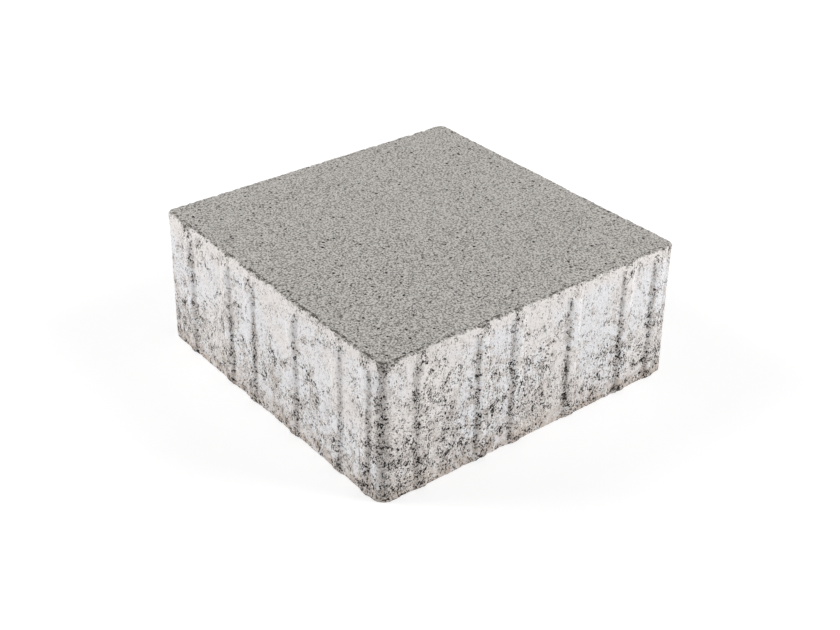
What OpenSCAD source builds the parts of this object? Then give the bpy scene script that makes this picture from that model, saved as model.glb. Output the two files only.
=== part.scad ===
// Square concrete paving stone with leaning sides and interlocking spacer ribs.
// It lies on its bed face. The origin is the middle of that face, and +Z points up to the wearing face.

/* [Stone] */
// Side of the square bed face, measured between the plain panels of opposite sides
base_side = 200; // [120:1:400]
// Height from the bed face to the wearing face
stone_h = 80; // [50:1:160]
// How far each side leans in between the bed face and the wearing face
side_lean = 1.1; // [0.2:0.1:3]
// Plan radius of the upright corners at the wearing face
corner_r = 5.7; // [3:0.1:8]
// Radius of the worn arris around the wearing face
arris_r = 0.9; // [0.3:0.1:2]

/* [Spacer ribs] */
// Width of a rib where it grows out of the side
rib_foot_w = 10.4; // [6:0.1:11]
// Width across the crest of a rib
rib_crest_w = 4.2; // [2:0.1:5]
// Radius that rounds the two shoulders of the crest
rib_shoulder_r = 1; // [0.2:0.1:1]
// How far a rib stands out from the side
rib_h = 1.5; // [0.8:0.1:3]
// Distance down the side from the wearing face to the upper tip of a rib
rib_tip_depth = 4; // [3:0.1:20]
// Length over which the tip of a rib slopes out to the full height
rib_tip_l = 4; // [2:0.1:10]
// Distance between the rib stations along a side, the same on every size of stone
station_pitch = 50; // [40:0.5:100]
// Distance between the two ribs of a pair, from centre to centre
pair_spacing = 23; // [22:0.5:27]

/* [Hidden] */
$fn = 96;

concrete_grey = [0.66, 0.65, 0.63];
// Number of sides of the stone
sides = 4;
// Straight steps that make up the rounded arris, and each rounded shoulder of a rib
arris_steps = 4;
shoulder_steps = 3;
// How deep a rib is rooted in the stone
rib_root = 0.5;
// How much too long a rib is made at both ends before it is cut to length
rib_spare_l = 5;

// Lengths are taken to a thousandth of a millimetre, so that shapes that meet share their edges
function fine(v) = round(v * 1000) / 1000;

half_base = fine(base_side / 2);
base_corner_r = fine(corner_r + side_lean);
// Distance of the corners' centre lines from the middle, the same at every height
corner_at = half_base - base_corner_r;
lean_angle = atan(side_lean / stone_h);
// Height of a rib's upper tip, measured up the leaning side
rib_tip_at = stone_h / cos(lean_angle) - rib_tip_depth;
flank_angle = atan(2 * rib_h / (rib_foot_w - rib_crest_w));

// Along each side, stations with a single rib and stations with a pair of ribs take turns. The station of
// the stone laid against it is always of the other kind, so its single rib stands between the two of a pair.
// A rib is made where it fits on the flat of the side.
station_half_count = ceil(half_base / station_pitch);
rib_places = [
    for (k = [-station_half_count : station_half_count - 1])
        let (station = (k + 0.5) * station_pitch)
        for (shift = k % 2 == 0 ? [0] : [-pair_spacing / 2, pair_spacing / 2])
            if (abs(station + shift) + rib_foot_w / 2 <= corner_at) station + shift
];

// Outer line of a rounded corner, from the bed face up the leaning surface and over the arris.
// x is measured from the corner's centre line.
function outer_line() =
    let (
        arris_z = stone_h - arris_r,
        arris_x = base_corner_r - side_lean * arris_z / stone_h - arris_r / cos(lean_angle)
    )
    concat(
        [[base_corner_r, 0]],
        [for (i = [0 : arris_steps])
            let (turn = lean_angle + (90 - lean_angle) * i / arris_steps)
            [fine(arris_x + arris_r * cos(turn)), fine(arris_z + arris_r * sin(turn))]]
    );

// Points over one rounded shoulder of a rib, from its flank to its crest
function shoulder_line() =
    let (
        centre_x = rib_crest_w / 2 - rib_shoulder_r * tan(flank_angle / 2),
        centre_y = rib_h - rib_shoulder_r
    )
    [for (i = [0 : shoulder_steps])
        let (turn = 90 - flank_angle * (1 - i / shoulder_steps))
        [centre_x + rib_shoulder_r * cos(turn), centre_y + rib_shoulder_r * sin(turn)]];

// The same points mirrored and in reverse order, for the other half of a section
function mirrored(points) = [for (i = [len(points) - 1 : -1 : 0]) [-points[i].x, points[i].y]];

// Slab between two opposite sides, as wide as the flat of those sides and with the corners' outer line
module slab() {
    right_half = [for (point = outer_line()) [corner_at + point.x, point.y]];
    rotate([90, 0, 0])
        linear_extrude(2 * corner_at, center = true)
            polygon(concat(right_half, mirrored(right_half)));
}

// Rounded upright corner: a cone that leans with the sides and has their arris
module corner_post() {
    rotate_extrude()
        polygon(concat([[0, 0]], outer_line(), [[0, stone_h]]));
}

// Section of a rib: x runs along the side and y out of it. The flanks run on into the stone to the root.
module rib_section() {
    root_half_w = rib_foot_w / 2 + rib_root / tan(flank_angle);
    right_half = concat([[root_half_w, -rib_root]], shoulder_line());
    polygon(concat(right_half, mirrored(right_half)));
}

// Outline of a rib seen along the side: x runs out of the side and y up it. The tip slopes from the root
// through the surface of the side to well above the crest.
module rib_outline() {
    tip_slope = rib_tip_l / rib_h;
    deep = 2 * rib_root;
    high = 2 * rib_h;
    polygon([
        [-deep, -rib_spare_l],
        [high, -rib_spare_l],
        [high, rib_tip_at - tip_slope * high],
        [-deep, rib_tip_at + tip_slope * deep]
    ]);
}

// One rib on the side that faces -Y, upright and still too long at the bed face
module rib() {
    intersection() {
        translate([0, 0, -2 * rib_spare_l])
            linear_extrude(rib_tip_at + 3 * rib_spare_l)
                mirror([0, 1])
                    rib_section();
        rotate([90, 0, -90])
            linear_extrude(2 * rib_foot_w, center = true)
                rib_outline();
    }
}

// All ribs of the side that faces -Y, leaning with that side
module rib_row() {
    for (place = rib_places)
        translate([place, -half_base, 0])
            rotate([-lean_angle, 0, 0])
                rib();
}

// Everything below the bed face
module below_bed() {
    reach = base_side + 4 * rib_h;
    translate([-reach / 2, -reach / 2, -4 * rib_spare_l])
        cube([reach, reach, 4 * rib_spare_l]);
}

module paving_stone() {
    color(concrete_grey)
        difference() {
            union() {
                slab();
                rotate([0, 0, 90])
                    slab();
                for (side = [0 : sides - 1])
                    rotate([0, 0, side * 360 / sides]) {
                        translate([corner_at, corner_at, 0])
                            corner_post();
                        rib_row();
                    }
            }
            below_bed();
        }
}

paving_stone();
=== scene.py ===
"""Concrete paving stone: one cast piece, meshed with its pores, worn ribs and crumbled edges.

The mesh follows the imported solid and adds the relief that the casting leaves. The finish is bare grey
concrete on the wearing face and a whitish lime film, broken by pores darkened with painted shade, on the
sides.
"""

import logging
import math
from collections.abc import Sequence
from dataclasses import dataclass, field
from enum import Enum

import bpy
import numpy as np
from mathutils import Matrix, Vector, noise


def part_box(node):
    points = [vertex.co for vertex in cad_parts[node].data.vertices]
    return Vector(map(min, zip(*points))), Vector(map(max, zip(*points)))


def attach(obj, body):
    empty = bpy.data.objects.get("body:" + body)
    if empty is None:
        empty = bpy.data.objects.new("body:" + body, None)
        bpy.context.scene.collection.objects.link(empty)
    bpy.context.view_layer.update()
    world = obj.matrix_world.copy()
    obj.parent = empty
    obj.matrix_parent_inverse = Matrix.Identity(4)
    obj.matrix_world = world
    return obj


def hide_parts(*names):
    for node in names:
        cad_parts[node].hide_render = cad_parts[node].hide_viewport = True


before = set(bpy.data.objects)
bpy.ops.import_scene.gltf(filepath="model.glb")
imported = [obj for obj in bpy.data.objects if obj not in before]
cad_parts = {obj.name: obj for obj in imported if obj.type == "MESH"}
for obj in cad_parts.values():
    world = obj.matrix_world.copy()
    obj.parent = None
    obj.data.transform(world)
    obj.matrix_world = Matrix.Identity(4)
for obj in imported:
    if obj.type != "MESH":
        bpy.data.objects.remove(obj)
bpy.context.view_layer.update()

LOG = logging.getLogger("paving_stone")
MM = 0.001
NODE = "paving_stone"
SIDES = 4
UNIT_SQUARE = ((0, 0), (1, 0), (1, 1), (0, 1))
Colour = tuple[float, float, float, float]
Span = tuple[float, float]
Socket = bpy.types.NodeSocket


def paint(red: int, green: int, blue: int) -> Colour:
    """Turns a colour as a screen shows it into the linear values that a shader takes.

    Args:
        red: Red part, 0 to 255.
        green: Green part, 0 to 255.
        blue: Blue part, 0 to 255.

    Returns:
        The linear colour with full alpha.
    """
    parts = [value / 255 for value in (red, green, blue)]
    linear = [v / 12.92 if v <= 0.04045 else ((v + 0.055) / 1.055) ** 2.4 for v in parts]
    return (linear[0], linear[1], linear[2], 1.0)


def grey(value: float) -> Colour:
    """Gives a linear grey with full alpha."""
    return (value, value, value, 1.0)


def between(ends: Span, share: np.ndarray | float) -> np.ndarray | float:
    """Runs from the first end at a share of 0 to the second end at a share of 1."""
    return ends[0] + (ends[1] - ends[0]) * share


def hump(share: np.ndarray) -> np.ndarray:
    """Rises to 1 where a share is a half and falls to 0 where it is 0 or 1."""
    return 4.0 * share * (1.0 - share)


def put(name: str, data: bpy.types.ID) -> bpy.types.Object:
    """Puts an object into the scene.

    Args:
        name: Name of the object.
        data: Its mesh, light or camera.

    Returns:
        The object.
    """
    made = bpy.data.objects.new(name, data)
    bpy.context.scene.collection.objects.link(made)
    return made


def blank_material(name: str) -> bpy.types.Material:
    """Makes a material with an empty node tree.

    Args:
        name: Name of the material.

    Returns:
        The material.
    """
    made = bpy.data.materials.new(name)
    made.use_nodes = True
    made.node_tree.nodes.clear()
    return made


class Mark(Enum):
    """Values that the mesh carries at each vertex for the finish."""

    SKIN = "skin"
    EDGE = "edge"
    OPEN = "open"
    PIT = "pit"


@dataclass(frozen=True)
class Ramp:
    """An eased run of values, from start where something is low to end where it is high.

    The low value may be the larger one. The same ramps shape the mesh and the finish.
    """

    low: float
    high: float
    start: float = 0.0
    end: float = 1.0

    def at(self, value: np.ndarray) -> np.ndarray:
        """Gives the run's values.

        Args:
            value: What the run depends on.

        Returns:
            Values between start and end.
        """
        share = np.clip((value - self.low) / (self.high - self.low), 0.0, 1.0)
        return self.start + (self.end - self.start) * share * share * (3.0 - 2.0 * share)


@dataclass(frozen=True)
class Relief:
    """Random relief with bumps of one size, the same on every run.

    An upright share under 1 draws the bumps out in height.
    """

    size: float
    seed: int
    octaves: int = 2
    height: float = 1.0
    upright: float = 1.0
    smoothness: float = 1.0
    octave_step: float = 2.0
    seed_shift: tuple[float, ...] = (17.31, 5.77, 29.13)

    def at(self, points: np.ndarray) -> np.ndarray:
        """Gives the relief at some points.

        Args:
            points: Places in metres, with x, y and z on the last axis.

        Returns:
            Values between about plus and minus the height, one for each point.
        """
        drawn = points.reshape(-1, 3) * np.array([1.0, 1.0, self.upright])
        scaled = drawn / self.size + np.array(self.seed_shift) * self.seed
        values = [noise.fractal(p, self.smoothness, self.octave_step, self.octaves) for p in scaled.tolist()]
        return np.array(values).reshape(points.shape[:-1]) * self.height


@dataclass(frozen=True)
class Outline:
    """One walk round the stone, with a value for each column of the mesh.

    The values are the point of the square through the corners' centre lines, the outward direction, the
    distance from the middle of the side, how far that is beyond the end of the side's flat, and the
    distance walked.
    """

    centre: np.ndarray
    out: np.ndarray
    along: np.ndarray
    beyond: np.ndarray
    walked: np.ndarray


@dataclass(frozen=True)
class Profile:
    """The stone's section from its bed face up, with a value for each row of the mesh.

    The values are the distance from the corners' centre lines, the height, the angle at which the surface
    faces up, the way along the section from the arris, negative down the side, and the depth under the
    wearing face as a share of the height.
    """

    radius: np.ndarray
    z: np.ndarray
    up: np.ndarray
    inward: np.ndarray
    sink: np.ndarray


@dataclass(frozen=True)
class SpacerRibs:
    """The row of spacer ribs on each side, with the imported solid's sizes."""

    foot_w: float = 10.4 * MM
    crest_w: float = 4.2 * MM
    height: float = 1.5 * MM
    tip_depth: float = 4.0 * MM
    tip_l: float = 4.0 * MM
    station_pitch: float = 50.0 * MM
    pair_spacing: float = 23.0 * MM
    roundness: float = 0.3

    def places(self, half_flat: float) -> list[float]:
        """Gives where the ribs stand along a side.

        Args:
            half_flat: Half the length of the side's flat.

        Returns:
            Distances from the middle of the side, read left to right from outside.
        """
        count = math.ceil(half_flat / self.station_pitch)
        found = []
        for k in range(-count, count):
            station = (k + 0.5) * self.station_pitch
            shifts = [0.0] if k % 2 == 0 else [-self.pair_spacing / 2, self.pair_spacing / 2]
            found += [station + s for s in shifts if abs(station + s) + self.foot_w / 2 <= half_flat]
        return found

    def relief(self, along: np.ndarray, below_top: np.ndarray, half_flat: float) -> np.ndarray:
        """Gives how far the ribs stand out of a side.

        Args:
            along: Distance from the middle of the side.
            below_top: Depth under the wearing face.
            half_flat: Half the length of the side's flat.

        Returns:
            Heights in metres.
        """
        flank = (self.foot_w - self.crest_w) / 2
        tip = np.clip((below_top - self.tip_depth) / self.tip_l, 0.0, 1.0)
        best = np.zeros(np.broadcast(along, below_top).shape)
        for place in self.places(half_flat):
            rise = np.clip((self.foot_w / 2 - np.abs(along - place)) / flank, 0.0, 1.0)
            rounded = (1.0 - self.roundness) * rise + self.roundness * Ramp(0.0, 1.0).at(rise)
            best = np.maximum(best, np.minimum(rounded, tip))
        return best * self.height


@dataclass(frozen=True)
class OpenPores:
    """Open texture of the sides, where the lime film is broken and pores and hollows show.

    Openness runs from 0 for a whole film to 1 for bare and porous. A gain is what one cause adds to it,
    and a pair of gains is for the upper end and the foot of a side.
    """

    seed: int = 11
    thinness_of_side: tuple[float, ...] = (0.26, 0.27, 0.27, 0.28)
    wear_of_side: tuple[float, ...] = (1.0, 0.9, 0.9, 0.8)
    wear_of_corner: tuple[float, ...] = (1.0, 0.55, 0.6, 0.5)
    wide_patches: Relief = Relief(24 * MM, 11, height=0.16)
    narrow_patches: Relief = Relief(8 * MM, 12, height=0.26)
    low_zone: Ramp = Ramp(0.06, 0.84)
    low_gain: float = 0.25
    foot_gain: Ramp = Ramp(0.88, 1.0, 0.0, 0.1)
    foot_contrast: int = 3
    head_gain: float = 0.25
    flank_gain: Span = (0.18, 0.33)
    bend_zone: Ramp = Ramp(-1 * MM, 4 * MM)
    bend_gain: Span = (0.41, 0.12)
    beside_bend_zone: Ramp = Ramp(-17 * MM, 0.0)
    beside_bend_gain: Span = (0.0, 0.22)
    worn_end_gain: Ramp = Ramp(0.14, 0.02, 0.0, 0.1)
    tries_per_side: int = 1900
    chance_from: float = 0.5
    chance_gain: float = 1.1
    chance_zone: Ramp = Ramp(0.0, -6 * MM)
    flank_chance: Ramp = Ramp(0.3, 0.8, 0.0, 0.3)
    radius: Span = (0.45 * MM, 1.3 * MM)
    small_bias: int = 3
    stretch: Span = (0.7, 1.6)
    ragged: Relief = Relief(1.5 * MM, 13)
    raggedness: float = 1.3
    reach: float = 2.0
    depth_share: float = 0.9

    def openness(
        self, points: np.ndarray, outline: Outline, profile: Profile, rib: np.ndarray, head: np.ndarray
    ) -> np.ndarray:
        """Gives how open the texture is over the sides.

        Args:
            points: Place of each vertex, in rows and columns.
            outline: The walk round the stone.
            profile: The stone's section.
            rib: Height of the ribs at each vertex, as a share of their full height.
            head: How near each vertex lies to the upper end of a rib, 1 above the rib and 0 far from it.

        Returns:
            Values from 0 to 1, in rows and columns.
        """
        columns = points.shape[1]
        per_side = columns // SIDES
        thin = np.repeat(self.thinness_of_side, per_side)
        side = np.repeat(self.wear_of_side, per_side)
        corner = np.roll(np.repeat(self.wear_of_corner, per_side), -per_side // 2)
        low = self.low_zone.at(profile.sink)
        level = thin + self.low_gain * low * side + self.wide_patches.at(points)
        level = level + self.narrow_patches.at(points) + self.head_gain * head
        level = level + between(self.flank_gain, low) * side * hump(rib)
        level = level + self.foot_gain.at(profile.sink) * side**self.foot_contrast
        bend = between(self.bend_gain, low) * self.bend_zone.at(outline.beyond)
        beside_bend = between(self.beside_bend_gain, low) * self.beside_bend_zone.at(outline.beyond)
        level = level + (bend + beside_bend) * corner
        level = level + self.worn_end_gain.at(np.arange(columns) / columns)
        return np.clip(level, 0.0, 1.0)

    def chance(
        self, openness: np.ndarray, outline: Outline, profile: Profile, rib: np.ndarray
    ) -> np.ndarray:
        """Gives the chance that a larger pore opens at a place.

        Args:
            openness: How open the texture is, in rows and columns.
            outline: The walk round the stone.
            profile: The stone's section.
            rib: Height of the ribs at each vertex, as a share of their full height.

        Returns:
            Chances, at or below 0 for none, in rows and columns.
        """
        flat = self.chance_gain * (openness - self.chance_from) * self.chance_zone.at(outline.beyond)
        return flat + self.flank_chance.at(profile.sink) * hump(rib)

    def depth(
        self, around: np.ndarray, heights: np.ndarray, likely: np.ndarray, points: np.ndarray
    ) -> np.ndarray:
        """Gives how deep the larger pores are over the sides.

        Args:
            around: Distance of each column of the mesh round the stone, from the first corner.
            heights: Height of each row of the mesh.
            likely: Chance that a pore tried at a place opens there, in rows and columns.
            points: Place of each vertex, in rows and columns.

        Returns:
            Depths in metres, in rows and columns.
        """
        draw = np.random.default_rng(self.seed)
        total = around[-1] + around[1] - around[0]
        ragged = self.ragged.at(points)
        found = np.zeros(likely.shape)
        for _ in range(self.tries_per_side * SIDES):
            place, low, chance = draw.uniform() * total, draw.uniform() * heights[-1], draw.uniform()
            size, stretch = draw.uniform() ** self.small_bias, draw.uniform(*self.stretch)
            column = int(round(place / total * len(around))) % len(around)
            row = int(np.abs(heights - low).argmin())
            if chance > likely[row, column]:
                continue
            radius = between(self.radius, size)
            rows = np.flatnonzero(np.abs(heights - low) < self.reach * radius)
            gap = (around - place + total / 2) % total - total / 2
            columns = np.flatnonzero(np.abs(gap) < self.reach * radius)
            patch = np.ix_(rows, columns)
            wide = (gap[columns] / radius)[None, :]
            high = ((heights[rows] - low) / (radius * stretch))[:, None]
            torn = 1.0 + self.raggedness * ragged[patch]
            bowl = np.clip(1.0 - (wide**2 + high**2) * torn, 0.0, 1.0)
            found[patch] = np.maximum(found[patch], bowl * radius * self.depth_share)
        return found


@dataclass(frozen=True)
class EdgeWear:
    """Crumbled arris of the wearing face and crumbled edge of the bed face.

    Small crumbs and wider bites are added, each with its share, and what passes the least value breaks off.
    """

    crumbs: Relief = Relief(2.2 * MM, 31, octaves=3)
    bites: Relief = Relief(9 * MM, 32)
    arris_reach: float = 1.2 * MM
    arris_crumb_share: float = 0.8
    arris_bite_share: float = 0.9
    arris_least: float = 0.12
    arris_chip_depth: float = 0.9 * MM
    arris_roughness: float = 0.2 * MM
    base_reach: float = 2.2 * MM
    base_crumb_share: float = 0.5
    base_least: float = 0.1
    base_depth: float = 0.8 * MM
    mark_gain: float = 2.0
    mark_least: float = 0.3

    def wear(self, points: np.ndarray, profile: Profile) -> tuple[np.ndarray, np.ndarray]:
        """Works out how far the edges have crumbled.

        Args:
            points: Places of the vertices, in rows and columns.
            profile: The stone's section.

        Returns:
            Depth of the wear in metres and a mark of 0 to 1 for the arris's chips, in rows and columns.
        """
        crumbs, bites = self.crumbs.at(points), self.bites.at(points)
        arris = np.exp(-((profile.inward / self.arris_reach) ** 2))
        base = np.exp(-((profile.z / self.base_reach) ** 2))
        broken = self.arris_crumb_share * crumbs + self.arris_bite_share * bites
        chips = np.clip(broken - self.arris_least, 0.0, 1.0)
        base_chips = np.clip(bites + self.base_crumb_share * crumbs - self.base_least, 0.0, 1.0)
        worn = arris * (self.arris_chip_depth * chips + self.arris_roughness * crumbs)
        worn = worn + base * self.base_depth * base_chips
        return worn, arris * np.clip(self.mark_gain * chips - self.mark_least, 0.0, 1.0)


@dataclass(frozen=True)
class StoneForm:
    """Outer form of the stone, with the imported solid's sizes and a slightly rounded lower edge."""

    height: float
    half_base: float
    side_lean: float = 1.1 * MM
    corner_r: float = 5.7 * MM
    arris_r: float = 0.9 * MM
    base_edge_r: float = 0.45 * MM

    @classmethod
    def from_frame(cls, node: str, ribs: SpacerRibs) -> "StoneForm":
        """Reads the stone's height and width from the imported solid.

        Args:
            node: Name of the solid.
            ribs: Its ribs, which the solid's box takes in.

        Returns:
            The form.
        """
        low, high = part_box(node)
        return cls(height=high[2] - low[2], half_base=high[0] - ribs.height)

    @property
    def base_corner_r(self) -> float:
        """Plan radius of the corners at the bed face."""
        return self.corner_r + self.side_lean

    @property
    def half_flat(self) -> float:
        """Half the length of a side's flat, which is also where the corners' centre lines stand."""
        return self.half_base - self.base_corner_r

    def side_r(self, z: np.ndarray | float) -> np.ndarray | float:
        """Distance of the side from the corners' centre lines at a height."""
        return self.base_corner_r - self.side_lean * z / self.height


@dataclass(frozen=True)
class MapLayout:
    """Where the four sides and the two end faces lie on the square map of the whole stone."""

    width: float = 404 * MM
    margin: float = 2 * MM
    side_cell: Span = (202 * MM, 98 * MM)
    lowest_side: float = 206 * MM
    row_h: float = 1 * MM
    corner_w: float = 10 * MM
    wearing_middle: Span = (102 * MM, 103 * MM)
    bed_middle: Span = (302 * MM, 103 * MM)

    def side_place(self, side: int, along: float, row: int) -> Span:
        """Gives the place of a point of a side.

        Args:
            side: Number of the side.
            along: Way along the side from its first column.
            row: Number of the row.

        Returns:
            The place, as shares of the map's width.
        """
        u = self.margin + self.side_cell[0] * (side % 2) + along
        v = self.lowest_side + self.side_cell[1] * (side // 2) + row * self.row_h
        return (u / self.width, v / self.width)

    def end_place(self, point: np.ndarray, upward: bool) -> Span:
        """Gives the place of a point of the wearing face, or of the bed face where upward is False."""
        middle = self.wearing_middle if upward else self.bed_middle
        return ((point[0] + middle[0]) / self.width, (point[1] + middle[1]) / self.width)


@dataclass
class MeshParts:
    """Vertices, faces, map places and values of a mesh while it is put together."""

    points: list[np.ndarray] = field(default_factory=list)
    faces: list[tuple[int, ...]] = field(default_factory=list)
    places: list[Span] = field(default_factory=list)
    marks: dict[Mark, list[np.ndarray]] = field(default_factory=lambda: {mark: [] for mark in Mark})

    def add_points(self, points: np.ndarray, marks: dict[Mark, np.ndarray | float]) -> np.ndarray:
        """Adds vertices.

        Args:
            points: Their places.
            marks: Their values for the finish, each one number or one for each vertex.

        Returns:
            Their numbers.
        """
        start = sum(len(p) for p in self.points)
        self.points.append(points)
        for mark in Mark:
            self.marks[mark].append(np.broadcast_to(marks.get(mark, 0.0), (len(points),)).astype(float))
        return np.arange(start, start + len(points))

    def add_face(self, corners: Sequence[int], places: Sequence[Span]) -> None:
        """Adds a face with its corners' places on the map."""
        self.faces.append(tuple(int(c) for c in corners))
        self.places.extend(places)

    def to_object(self, name: str) -> bpy.types.Object:
        """Makes the object.

        Args:
            name: Name of the object.

        Returns:
            The object, linked to the scene.
        """
        mesh = bpy.data.meshes.new(name)
        mesh.from_pydata(np.concatenate(self.points).tolist(), [], self.faces)
        for mark, values in self.marks.items():
            layer = mesh.attributes.new(mark.value, "FLOAT", "POINT")
            layer.data.foreach_set("value", np.concatenate(values).astype(np.float32))
        layer = mesh.uv_layers.new(name="OFBake")
        layer.data.foreach_set("uv", np.array(self.places, dtype=np.float32).ravel())
        mesh.polygons.foreach_set("use_smooth", [True] * len(mesh.polygons))
        mesh.update()
        return put(name, mesh)


@dataclass
class EndFace:
    """One end of the stone, closed by rings that halve the number of columns and then by a grid."""

    parts: MeshParts
    layout: MapLayout
    upward: bool
    halvings: int
    shrink: float
    marks: dict[Mark, float]
    flatness: Relief = Relief(35 * MM, 61, height=0.1 * MM)
    places: dict[int, np.ndarray] = field(default_factory=dict)

    def add(self, points: np.ndarray) -> np.ndarray:
        """Adds vertices to the mesh.

        Args:
            points: Their places.

        Returns:
            Their numbers.
        """
        numbers = self.parts.add_points(points, self.marks)
        self.places.update(zip(numbers.tolist(), points))
        return numbers

    def face(self, *corners: int) -> None:
        """Adds a face, with its corners given anticlockwise from above."""
        ordered = corners if self.upward else corners[::-1]
        self.parts.add_face(ordered, [self.layout.end_place(self.places[c], self.upward) for c in ordered])

    def halve(self, rim: np.ndarray, places: np.ndarray) -> tuple[np.ndarray, np.ndarray]:
        """Adds a ring of triangles with half as many columns inside as outside.

        Args:
            rim: Numbers of the outer vertices, in order round the stone.
            places: Their places.

        Returns:
            Numbers and places of the inner vertices.
        """
        inner_places = places[::2] * np.array([self.shrink, self.shrink, 1.0])
        inner_places[:, 2] = places[:, 2].mean()
        inner = self.add(inner_places)
        for m in range(len(inner)):
            a, b, c = rim[2 * m], rim[2 * m + 1], rim[(2 * m + 2) % len(rim)]
            d, e = inner[m], inner[(m + 1) % len(inner)]
            self.face(a, b, d)
            self.face(b, c, e)
            self.face(b, e, d)
        return inner, inner_places

    def fill(self, rim: np.ndarray, places: np.ndarray) -> None:
        """Fills the inside of a rim with a grid that follows its four sides.

        Args:
            rim: Numbers of the rim's vertices, in order round the stone.
            places: Their places.
        """
        count = len(rim) // SIDES
        share = np.arange(count + 1) / count
        ring = np.concatenate([places, places[:1]])
        loop = np.concatenate([rim, rim[:1]])
        runs = [slice(k * count, (k + 1) * count + 1) for k in range(SIDES)]
        south, east, north, west = ring[runs[0]], ring[runs[1]], ring[runs[2]][::-1], ring[runs[3]][::-1]
        u, v = share[:, None, None], share[None, :, None]
        grid = (1 - v) * south[:, None] + v * north[:, None] + (1 - u) * west[None] + u * east[None]
        first, last = (1 - v) * south[0] + v * north[0], (1 - v) * south[-1] + v * north[-1]
        grid = grid - ((1 - u) * first + u * last)
        numbers = np.zeros((count + 1, count + 1), dtype=int)
        numbers[:, 0], numbers[-1, :] = loop[runs[0]], loop[runs[1]]
        numbers[::-1, -1], numbers[0, ::-1] = loop[runs[2]], loop[runs[3]]
        inside = grid[1:-1, 1:-1].reshape(-1, 3)
        waves = self.flatness.at(inside)
        inside[:, 2] += waves if self.upward else np.abs(waves)
        numbers[1:-1, 1:-1] = self.add(inside).reshape(count - 1, count - 1)
        for i in range(count):
            for j in range(count):
                self.face(numbers[i, j], numbers[i + 1, j], numbers[i + 1, j + 1], numbers[i, j + 1])

    def close(self, rim: np.ndarray, places: np.ndarray) -> None:
        """Closes the end.

        Args:
            rim: Numbers of the vertices round the end.
            places: Their places.
        """
        self.places.update(zip(rim.tolist(), places))
        for _ in range(self.halvings):
            rim, places = self.halve(rim, places)
        self.fill(rim, places)


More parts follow.
